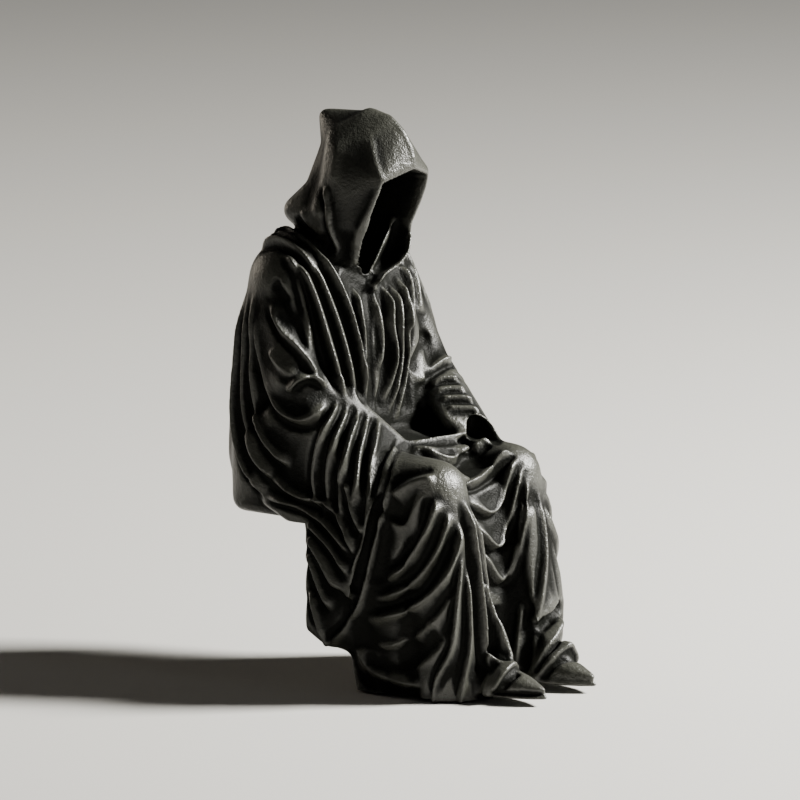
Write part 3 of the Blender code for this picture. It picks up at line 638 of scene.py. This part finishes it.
# %% Rims and grooves at the feet
fans("feet", [
    (1, [(9, 48, -28.5), (15.5, 48.6, -26.3), (21.5, 47, -23.8)], None, -1.2, 0.6, 0),
    (1, [(5, 48.5, -41), (7, 50.2, -36.5), (10, 51, -32.5), (15, 51, -29.2), (21, 48, -26.6)], None,
     0.35, 0.45, 0),
    (1, [(6, 49.2, -41), (8, 51, -37), (11.5, 52, -33.6), (15.5, 52, -30.5)], None, -1.2, 0.5, 0),
    (1, [(5.2, 49.6, -41.5), (7.4, 53.4, -36), (13, 55.6, -32.4), (16.8, 54.8, -36.8),
         (17.4, 51.6, -41.5)], None, 0.35, 0.45, 0),
    (1, [(6.5, 52, -41), (8.6, 55, -37), (12.5, 57.2, -35.2), (15.5, 56.5, -37.5)], None, -1.2, 0.5, 0),
    (1, [(-17.6, 51.5, -41.5), (-17.2, 53.2, -39), (-14.8, 54.4, -35.8),
         (-11.3, 54.7, -34), (-7.6, 53.8, -35.3)], None, 0.35, 0.45, 0),
    (1, [(-16.8, 54.5, -40.5), (-14.5, 56.3, -37.2), (-11.3, 56.8, -36)], None, -1.2, 0.5, 0),
    (1, [(-13.5, 49.5, -29.5), (-11.5, 51.5, -31), (-9.5, 52.5, -32.8)], None, -1.8, 0.8, 0),
    (1, [(-16.7, 50, -41), (-16.2, 54.5, -41), (-14.6, 59, -41), (-12.6, 63, -41), (-11, 65.3, -41)], None,
     -0.8, 0.35, 1),
    (2, [(8, 43.5, -21.5), (5.5, 43.5, -33), (4, 44, -40)],
     [(10, 46, -29.5), (6, 48, -36.5), (6, 47.5, -40.5)], 0.5, 0.8, 0),
])

# %% [markdown]
# ### Hood, lap and back
#
# The hood has a seam along its top and soft creases at its sides, and a twisted fold where it
# meets the collar. The strip across the lap has one ridge. The back isn't often seen, so seven
# plain folds are enough there.

# %% Folds on the hood, the lap and the back
fans("hood", [
    (1, [(0, 3, 105), (0, 8.5, 102), (0, 12, 97.5), (0, 14, 92.5)], None, 0.16, 0.6, 0),
    (1, [(-6, -12, 101), (-11.5, -10, 91), (-14.5, -8, 83), (-15, -7, 78)], None, 0.22, 1.6, 1),
    (1, [(-8.5, -4, 99), (-12, -3, 90), (-13.5, -2, 82), (-13, -1, 74)], None, 0.18, 1.3, 1),
    (1, [(-13.5, -5.5, 88), (-14.5, -4, 82), (-14, -3.5, 76), (-12, -1.5, 67.5)], None, 0.8, 0.7, 0.7),
    (1, [(-14.5, -12.5, 80.5), (-14, -9.5, 76.5), (-14.5, -6.5, 74)], None, 0.4, 1.2, 1),
    (1, [(-10.5, 10.5, 89.5), (-11, 7.5, 82.5), (-11, 3, 75), (-10.5, 1.7, 70)], None, 0.25, 0.5, 1),
    (1, [(-14, -17, 74.5), (-19.5, -8, 72.5), (-16.5, -4, 68), (-13, -2, 63.5)], None, -1.3, 1.6, 1),
    (1, [(9, 1, 75.5), (5.5, 1.6, 69.5), (1.5, 2, 66), (-2, 2.2, 63.4)], None, -1.0, 0.8, 0),
    (1, [(-15, -3, 65), (-9, 0.5, 59), (-3, 3, 57.5), (3, 3, 58.5), (9, 1, 61), (13, -3, 64)], None,
     -0.9, 2.0, 0),
    (1, [(5.6, 3.4, 99.8), (8.8, 7.6, 94), (10.4, 10.8, 89.8)], None, 0.14, 0.7, 1),
])
fans("lap", [
    (1, [(-8, 18, 19.5), (0, 27, 17), (10.5, 26, 18.5), (14.5, 29, 21)], None, 0.9, 1.0, 0),
])
fans("back", [
    (7, [(-15, -25, 66), (-19, -31, 36), (-22, -30, 6)],
     [(15, -25, 66), (19, -31, 36), (22, -30, 6)], 0.9, 1.5, 0),
])
print(sum(row[0] for row in FOLDS), "folds in all")

# %% [markdown]
# ## From a row to its paths
#
# Each fold follows a smooth curve through its landmarks, a Catmull-Rom spline, which goes
# through every point that it is given. Folds between the first and the last of a fan are blends
# of those two, and every second one is a little lower, as cloth is never quite even.

# %% Curves of the folds
PATH_SAMPLES = 40
# Stops just short of the last landmark, so that there is always a next one.
LAST_STEP = 1.0001
RELIEF = 2.2
DEPTH = 1.3
SECOND_LOWER = 0.25


def spline(points):
    ends = [points[0], *points, points[-1]]
    knots = np.array([tuple(place(*p)) for p in ends])
    out = []
    for step in np.linspace(0, len(points) - LAST_STEP, PATH_SAMPLES):
        i = int(step)
        t = step - i
        a, b, c, d = knots[i:i + 4]
        out.append(0.5 * (2 * b + (c - a) * t + (2 * a - 5 * b + 4 * c - d) * t ** 2
                          + (3 * b - a - 3 * c + d) * t ** 3))
    return np.array(out)


def paths():
    for count, first, last, height, width, other in FOLDS:
        start = spline(first)
        stop = spline(last) if last else start
        for i in range(count):
            blend = i / (count - 1) if count > 1 else 0
            path = start * (1 - blend) + stop * blend
            high = (RELIEF if height > 0 else DEPTH) * height * (1 - SECOND_LOWER * (i % 2))
            yield path, high, width, 1
            if other:
                yield path * (-1, 1, 1), high * other, width, -1


print(len(list(paths())), "paths, with those on the other side")

# %% [markdown]
# ## How near a vertex is to a fold
#
# A path is first laid on the skin and evened out. For every vertex close to it three things are
# measured: the gap to the path, how far along the path that is, and on which side. Numpy does
# this for all of them at once, which is much faster than a loop over the vertices.

# %% Lay a path on the skin and measure from it
PATH_ROUNDS = 8
FAR_OFF = 1e9
SHORTEST = 1e-12


def laid_on(tree, path):
    found = [tree.find_nearest(Vector(p)) for p in path]
    path = np.array([tuple(hit) for hit, _, _, _ in found])
    for _ in range(PATH_ROUNDS):
        path[1:-1] = (path[:-2] + 2 * path[1:-1] + path[2:]) / 4
    return path, np.mean([tuple(normal) for _, normal, _, _ in found], axis=0)


def near_path(points, path, margin):
    low, high = path.min(axis=0) - margin, path.max(axis=0) + margin
    return np.flatnonzero(np.all((points > low) & (points < high), axis=1))


def reach(points, path, facing):
    best = np.full(len(points), FAR_OFF)
    share = np.zeros(len(points))
    side = np.zeros(len(points))
    for i, (a, b) in enumerate(zip(path[:-1], path[1:])):
        along = b - a
        t = np.clip((points - a) @ along / max(along @ along, SHORTEST), 0, 1)
        off = points - a - t[:, None] * along
        gap = np.linalg.norm(off, axis=1)
        near = gap < best
        best[near] = gap[near]
        share[near] = (i + t[near]) / (len(path) - 1)
        side[near] = off[near] @ np.cross(along, facing)
    return best, share, side


# %% [markdown]
# ## The section of a fold
#
# A real fold leans: one flank is steep and has a shadow tucked in beside it, the other runs out
# gently. Its crest is sharp but not a knife edge, so it is rounded by about one voxel. A fold
# fades at both ends and where the skin turns away from it. Where two folds cross, the higher
# one wins, so that they don't pile up.

# %% Ridges and hollows
END_FADE = 0.2
TURNED_AWAY = 0.3
TURN_FADE = 0.5
STEEP = 0.5
GENTLE = 1.15
TUCK = 0.45
TUCK_AWAY = 2.0
TUCK_WIDTH = 0.7
REACH = 5.0


def ease(t):
    t = np.clip(t, 0, 1)
    return t * t * (3 - 2 * t)


def bell(gap, width):
    return np.exp(-0.5 * (gap / width) ** 2)


def relief(points, normals, tree, crest_radius):
    ridges = np.zeros(len(points))
    hollows = np.zeros(len(points))
    for path, height, width, hand in paths():
        path, facing = laid_on(tree, path)
        index = near_path(points, path, REACH * width * UNIT)
        if not len(index):
            continue
        gap, share, side = reach(points[index], path, facing)
        gap /= UNIT
        fade = ease(share / END_FADE) * ease((1 - share) / END_FADE)
        fade *= ease((normals[index] @ facing + TURNED_AWAY) / TURN_FADE)
        if height > 0:
            steep = side * hand > 0
            slope = np.maximum(width * np.where(steep, STEEP, GENTLE), crest_radius)
            crest = np.exp(-(np.sqrt(gap ** 2 + crest_radius ** 2) - crest_radius) / slope)
            ridges[index] = np.maximum(ridges[index], height * fade * crest)
            tuck = bell(gap - TUCK_AWAY * width, TUCK_WIDTH * width) * steep
            hollows[index] = np.maximum(hollows[index], TUCK * height * fade * tuck)
        else:
            hollows[index] = np.maximum(hollows[index], -height * fade * bell(gap, width))
    return ridges, hollows


# %% [markdown]
# ## Thin walls
#
# The skin is sunk a little before the folds stand out of it, so that the figure doesn't grow. At
# the hood and the shoes it isn't. A lip of cloth would turn inside out if it were cut deeper
# than it is thick, so a ray from each vertex measures the wall behind it, and no cut takes more
# than a share of that wall.

# %% How far the skin may go in
SINK = 1.1
SINK_FADE = 6
HOOD_LEVEL = 77
FOOT_START = 47.5
FOOT_FADE = 2.5
THICKEST = 8.0
START_IN = 0.05
WALL_ROUNDS = 3


def sunk_skin(points):
    sunk = SINK * ease((HOOD_LEVEL - points[:, 2] / UNIT) / SINK_FADE)
    return sunk * ease((FOOT_START + FOOT_FADE - SEAT_MIDDLE + points[:, 1] / UNIT) / FOOT_FADE)


def wall_depth(tree, points, normals, edges):
    depth = np.full(len(points), THICKEST)
    for i, (point, normal) in enumerate(zip(points, normals)):
        start = Vector(point - normal * START_IN * UNIT)
        _, _, _, far = tree.ray_cast(start, Vector(-normal), THICKEST * UNIT)
        if far is not None:
            depth[i] = far / UNIT
    for _ in range(WALL_ROUNDS):
        low = depth[edges].min(axis=1)
        np.minimum.at(depth, edges[:, 0], low)
        np.minimum.at(depth, edges[:, 1], low)
    return depth


# %% [markdown]
# ## Carving
#
# Each vertex moves along its own normal, out by the ridge and in by the hollow. This is done on
# the mesh itself and not by bump in the material, because folds two millimetres high change the
# outline and throw shadows.

# %% Carve the body
WALL_SHARE = 0.3
CREST_VOXELS = 1.1


def vertex_values(data, name):
    values = np.empty(len(data.vertices) * 3)
    data.vertices.foreach_get(name, values)
    return values.reshape(-1, 3)


def edge_ends(data):
    ends = np.empty(len(data.edges) * 2, dtype=np.int64)
    data.edges.foreach_get("vertices", ends)
    return ends.reshape(-1, 2)


def carve(thing, crest_radius):
    data = thing.data
    points, normals = vertex_values(data, "co"), vertex_values(data, "normal")
    mesh = bmesh.new()
    mesh.from_mesh(data)
    tree = BVHTree.FromBMesh(mesh)
    mesh.free()
    ridges, hollows = relief(points, normals, tree, crest_radius)
    walls = wall_depth(tree, points, normals, edge_ends(data))
    inward = np.minimum(hollows + sunk_skin(points), WALL_SHARE * walls)
    moved = points + normals * ((ridges - inward) * UNIT)[:, None]
    data.vertices.foreach_set("co", moved.ravel())
    data.update()
    return float(ridges.max()), float(inward.max())


highest, deepest = carve(body, CREST_VOXELS * CLOTH_VOXEL / UNIT)
print("folds stand out up to", round(highest, 1), "and go in up to", round(deepest, 1), "units")

# %% [markdown]
# ## Last skin
#
# Carving stretches the faces on steep flanks. One more remesh with a finer voxel makes them even
# again, and a decimate modifier then thins the flat parts, where so many faces do nothing.

# %% Remesh and thin
FINAL_VOXEL = 0.75
LAST_BLEND = 0.6
TRIANGLES = 190000

skin(body, CLOTH_VOXEL * FINAL_VOXEL, LAST_BLEND)
largest(body)
thin = body.modifiers.new("thin", "DECIMATE")
thin.ratio = min(1, TRIANGLES / sum(len(p.vertices) - 2 for p in body.data.polygons))
settle(body)
print("thinned to", len(body.data.polygons), "faces")

# %% [markdown]
# ## Flat cuts
#
# The real figure is flat where it rests: under the seat and down the backs of the legs. Its hem
# is level too. Two blocks are taken away with exact Booleans after everything else, so the
# cuts stay truly flat.

# %% Cut to the ledge and at the hem
LEG_BACK = 0.0
HEM_LEVEL = -43.8
# The blocks reach past the figure by this much.
PAST = 90


def block(name, low, high):
    mesh = bmesh.new()
    bmesh.ops.create_cube(mesh, size=1)
    a, b = place(*low), place(*high)
    stretch = Matrix.Diagonal((*(abs(v) for v in (b - a)), 1))
    bmesh.ops.transform(mesh, verts=mesh.verts[:], matrix=Matrix.Translation((a + b) / 2) @ stretch)
    return linked(name, mesh)


combine(body, block("ledge", (-PAST, -PAST, -PAST), (PAST, LEG_BACK, 0)), "DIFFERENCE")
combine(body, block("floor", (-PAST, -PAST, -PAST), (PAST, PAST, HEM_LEVEL)), "DIFFERENCE")
print("cut flat,", len(body.data.polygons), "faces")

# %% [markdown]
# ## Smooth shading with true corners
#
# Smooth shading hides the small faces, but it would smear light round the right angles of the
# cuts. Edges that turn by more than a set angle are marked sharp. The angle is a wide one, so
# that the crests of the folds stay soft.

# %% Shade the robed figure
SHARP_TURN = math.radians(75)

reaper = body
reaper.name = "robed_figure"
reaper.data.name = "robed_figure"
for face in reaper.data.polygons:
    face.use_smooth = True
reaper.data.set_sharp_from_angle(angle=SHARP_TURN)
print("robed figure:", len(reaper.data.vertices), "vertices,", len(reaper.data.polygons), "faces")

# %% [markdown]
# ## Painted highlight and wear on crests, painted shade in hollows
#
# The crests are painted lighter, a painted highlight with some handling wear, and the deep parts
# lose their shine, which is painted shade. How far a vertex stands above its neighbours says which
# it is, so that number is kept on the mesh as an attribute, and the material reads it. A texture
# painted by hand would do too, but it would have to be painted again after each change of a fold.

# %% Measure how proud each vertex stands
LEVEL_ROUNDS = 12
PRIDE_ROUNDS = 3


def neighbour_mean(values, edges, count):
    total = np.zeros((count,) + values.shape[1:])
    number = np.zeros(count)
    for a, b in ((0, 1), (1, 0)):
        np.add.at(total, edges[:, a], values[edges[:, b]])
        np.add.at(number, edges[:, a], 1)
    number = np.maximum(number, 1)
    return total / (number[:, None] if values.ndim > 1 else number)


def store_pride(thing, name):
    data = thing.data
    points, edges = vertex_values(data, "co"), edge_ends(data)
    level = points
    for _ in range(LEVEL_ROUNDS):
        level = neighbour_mean(level, edges, len(points))
    pride = np.einsum("ij,ij->i", points - level, vertex_values(data, "normal")) / UNIT
    for _ in range(PRIDE_ROUNDS):
        pride = neighbour_mean(pride, edges, len(points))
    layer = data.attributes.new(name, "FLOAT", "POINT")
    layer.data.foreach_set("value", pride.astype(np.float32))
    return pride


pride = store_pride(reaper, "pride")
print("pride from", round(float(pride.min()), 3), "to", round(float(pride.max()), 3), "units")

# %% [markdown]
# ## Grain
#
# The resin has a fine leathery grain, as if the cloth were thick wool. It is far finer than a
# fold, so bump is enough for it. Two noises of different size are mixed in a node group with
# named inputs, which any other resin could use with its own sizes.

# %% A group for the grain
GRAIN_COARSE = 900
GRAIN_FINE = 2600
GRAIN_DETAIL = 2
FINE_SHARE = 0.4


def grain_group():
    group = bpy.data.node_groups.new("leathery grain", "ShaderNodeTree")
    for name, size in (("Coarse", GRAIN_COARSE), ("Fine", GRAIN_FINE)):
        socket = group.interface.new_socket(name, in_out="INPUT", socket_type="NodeSocketFloat")
        socket.default_value = size
    group.interface.new_socket("Height", in_out="OUTPUT", socket_type="NodeSocketFloat")
    nodes, links = group.nodes, group.links
    start = nodes.new("NodeGroupInput")
    end = nodes.new("NodeGroupOutput")
    surface_place = nodes.new("ShaderNodeTexCoord")
    mix = nodes.new("ShaderNodeMix")
    mix.inputs["Factor"].default_value = FINE_SHARE
    for size, slot in (("Coarse", "A"), ("Fine", "B")):
        noise = nodes.new("ShaderNodeTexNoise")
        noise.inputs["Detail"].default_value = GRAIN_DETAIL
        links.new(surface_place.outputs["Object"], noise.inputs["Vector"])
        links.new(start.outputs[size], noise.inputs["Scale"])
        links.new(noise.outputs["Fac"], mix.inputs[slot])
    links.new(mix.outputs["Result"], end.inputs["Height"])
    return group


grain = grain_group()
print("grain group with", len(grain.nodes), "nodes")

# %% [markdown]
# ## Black resin
#
# The casting is satin black. The crests are a touch lighter, a painted highlight with some wear,
# and smoother, and the deep parts are almost without shine, as painted shade. All three follow the
# same pride value through map range nodes, so colour, roughness and shine change together.

# %% The resin itself
DEEP_BLACK = (0.004, 0.0042, 0.0034, 1)
# Lighter black on the crests: a painted highlight, with some wear.
HIGHLIGHT_AND_WEAR_BLACK = (0.034, 0.0345, 0.0285, 1)
HIGHLIGHT_AND_WEAR_PRIDE = (0.02, 0.22)
ROUGHNESS = (0.5, 0.36)
# Little shine where the skin is deep is painted shade; full shine on the crests adds to the painted
# highlight.
SHINE_PRIDE = (-0.05, 0.2)
SHINE = (0.05, 0.5)
GRAIN_HEIGHT = 0.00035


def mapped(tree, value, low_high, to_low_high):
    node = tree.nodes.new("ShaderNodeMapRange")
    names = ("From Min", "From Max", "To Min", "To Max")
    for name, limit in zip(names, (*low_high, *to_low_high)):
        node.inputs[name].default_value = limit
    tree.links.new(value, node.inputs["Value"])
    return node.outputs["Result"]


def blended(tree, factor, first, second):
    node = tree.nodes.new("ShaderNodeMix")
    node.data_type = "RGBA"
    colours = [socket for socket in node.inputs if socket.type == "RGBA"]
    for socket, colour in zip(colours, (first, second)):
        socket.default_value = colour
    tree.links.new(factor, node.inputs["Factor"])
    return next(socket for socket in node.outputs if socket.type == "RGBA")


def grained(tree, group):
    holder = tree.nodes.new("ShaderNodeGroup")
    holder.node_tree = group
    bump = tree.nodes.new("ShaderNodeBump")
    bump.inputs["Strength"].default_value = 1.0
    bump.inputs["Distance"].default_value = GRAIN_HEIGHT
    tree.links.new(holder.outputs["Height"], bump.inputs["Height"])
    return bump.outputs["Normal"]


def resin_material():
    material = bpy.data.materials.new("black resin")
    material.use_nodes = True
    tree = material.node_tree
    proud = tree.nodes.new("ShaderNodeAttribute")
    proud.attribute_name = "pride"
    # Crests get a lighter colour as a painted highlight with some wear; hollows get little shine as painted
    # shade.
    highlight_and_wear = mapped(tree, proud.outputs["Fac"], HIGHLIGHT_AND_WEAR_PRIDE, (0, 1))
    surface = tree.nodes["Principled BSDF"]
    for name, value in (
        ("Base Color", blended(tree, highlight_and_wear, DEEP_BLACK, HIGHLIGHT_AND_WEAR_BLACK)),
        ("Roughness", mapped(tree, highlight_and_wear, (0, 1), ROUGHNESS)),
        ("Specular IOR Level", mapped(tree, proud.outputs["Fac"], SHINE_PRIDE, SHINE)),
        ("Normal", grained(tree, grain)),
    ):
        tree.links.new(value, surface.inputs[name])
    return material


reaper.data.materials.clear()
reaper.data.materials.append(resin_material())
print("black resin on", reaper.name)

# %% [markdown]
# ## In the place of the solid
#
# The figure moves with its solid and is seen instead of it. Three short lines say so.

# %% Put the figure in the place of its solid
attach(reaper, "root")
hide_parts("seated_reaper")
print("robed figure replaces its solid")

# %% [markdown]
# ## Floor
#
# A plain pale floor, large enough to have no edge in sight, lies just under the hem. A dark
# figure needs it: its hollows would melt into a dark ground.

# %% Floor
FLOOR_HALF = 6.0
FLOOR_GAP = 0.0005
FLOOR_COLOUR = (0.5, 0.49, 0.47, 1)
FLOOR_ROUGHNESS = 0.7


def floor_piece():
    mesh = bmesh.new()
    bmesh.ops.create_grid(mesh, x_segments=1, y_segments=1, size=FLOOR_HALF)
    bmesh.ops.translate(mesh, verts=mesh.verts[:], vec=(0, 0, solid_box[0].z - FLOOR_GAP))
    floor = linked("floor", mesh)
    paint = bpy.data.materials.new("pale floor")
    paint.use_nodes = True
    surface = paint.node_tree.nodes["Principled BSDF"]
    surface.inputs["Base Color"].default_value = FLOOR_COLOUR
    surface.inputs["Roughness"].default_value = FLOOR_ROUGHNESS
    floor.data.materials.append(paint)
    return floor


floor = floor_piece()
print("floor at", round(solid_box[0].z - FLOOR_GAP, 4), "m")

# %% [markdown]
# ## Where the camera looks from
#
# The figure is seen from its right front, a little from above. Three directions are worked out
# from those two angles: towards the camera, to its right and up. Lights are placed by them too,
# because light is easier to think of as it falls in the picture.

# %% Directions
CAMERA_TURN = math.radians(-53)
CAMERA_RISE = math.radians(10)
AIM = Vector((0.00085, -0.0083 + SEAT_MIDDLE * UNIT, 0.0296))

toward = Vector((math.sin(CAMERA_TURN) * math.cos(CAMERA_RISE),
                 -math.cos(CAMERA_TURN) * math.cos(CAMERA_RISE),
                 math.sin(CAMERA_RISE)))
right = Vector((math.cos(CAMERA_TURN), math.sin(CAMERA_TURN), 0))
upward = toward.cross(right)
print("camera is towards", *[round(v, 3) for v in toward])

# %% [markdown]
# ## Light
#
# Black shows its form by what it reflects. One soft light stands high at the right, beside the
# figure and not in front of it, so that it rakes across the folds and draws their crests. A weak
# warm one behind on the left draws the outline, a faint one at the front right opens the
# shadows, and the room is nearly dark.

# %% Softboxes and the room
# Each row: name, how far right, up and towards the camera, power, side of the square, tint.
SOFTBOXES = [
    ("key light", 0.9, 0.6, 0.04, 72, 0.22, (1, 0.985, 0.93)),
    ("window light", -0.9, 0.35, -0.7, 3, 0.4, (1, 0.9, 0.75)),
    ("front light", 0.9, 0.8, 0.8, 0.5, 0.4, (1, 1, 1)),
]
ROOM_COLOUR = (0.75, 0.76, 0.78, 1)
ROOM_LIGHT = 0.02


def softbox(name, across, up, near, watts, side, tint):
    lamp = bpy.data.lights.new(name, "AREA")
    lamp.energy = watts
    lamp.size = side
    lamp.color = tint
    holder = bpy.data.objects.new(name, lamp)
    bpy.context.scene.collection.objects.link(holder)
    holder.location = AIM + right * across + upward * up + toward * near
    holder.rotation_mode = "QUATERNION"
    holder.rotation_quaternion = (AIM - holder.location).to_track_quat("-Z", "Y")


for row in SOFTBOXES:
    softbox(*row)
world = bpy.data.worlds.new("room")
bpy.context.scene.world = world
world.use_nodes = True
world.node_tree.nodes["Background"].inputs["Color"].default_value = ROOM_COLOUR
world.node_tree.nodes["Background"].inputs["Strength"].default_value = ROOM_LIGHT
print(len(SOFTBOXES), "softboxes, room light", ROOM_LIGHT)

# %% [markdown]
# ## Camera
#
# A long lens from three metres keeps the figure's lines nearly parallel, as a picture of a small
# thing taken from afar does. The lens follows from how much of the scene has to fit in the frame.

# %% Camera
CAMERA_AWAY = 3.0
HALF_VIEW = 0.1058
SENSOR = 36.0
CLIP = (0.05, 20)

camera = bpy.data.cameras.new("camera")
camera.sensor_width = SENSOR
camera.lens = SENSOR / 2 * CAMERA_AWAY / HALF_VIEW
camera.clip_start, camera.clip_end = CLIP
viewer = bpy.data.objects.new("camera", camera)
bpy.context.scene.collection.objects.link(viewer)
viewer.location = AIM + toward * CAMERA_AWAY
viewer.rotation_mode = "QUATERNION"
viewer.rotation_quaternion = (-toward).to_track_quat("-Z", "Y")
bpy.context.scene.camera = viewer
print("camera lens", round(camera.lens), "mm")
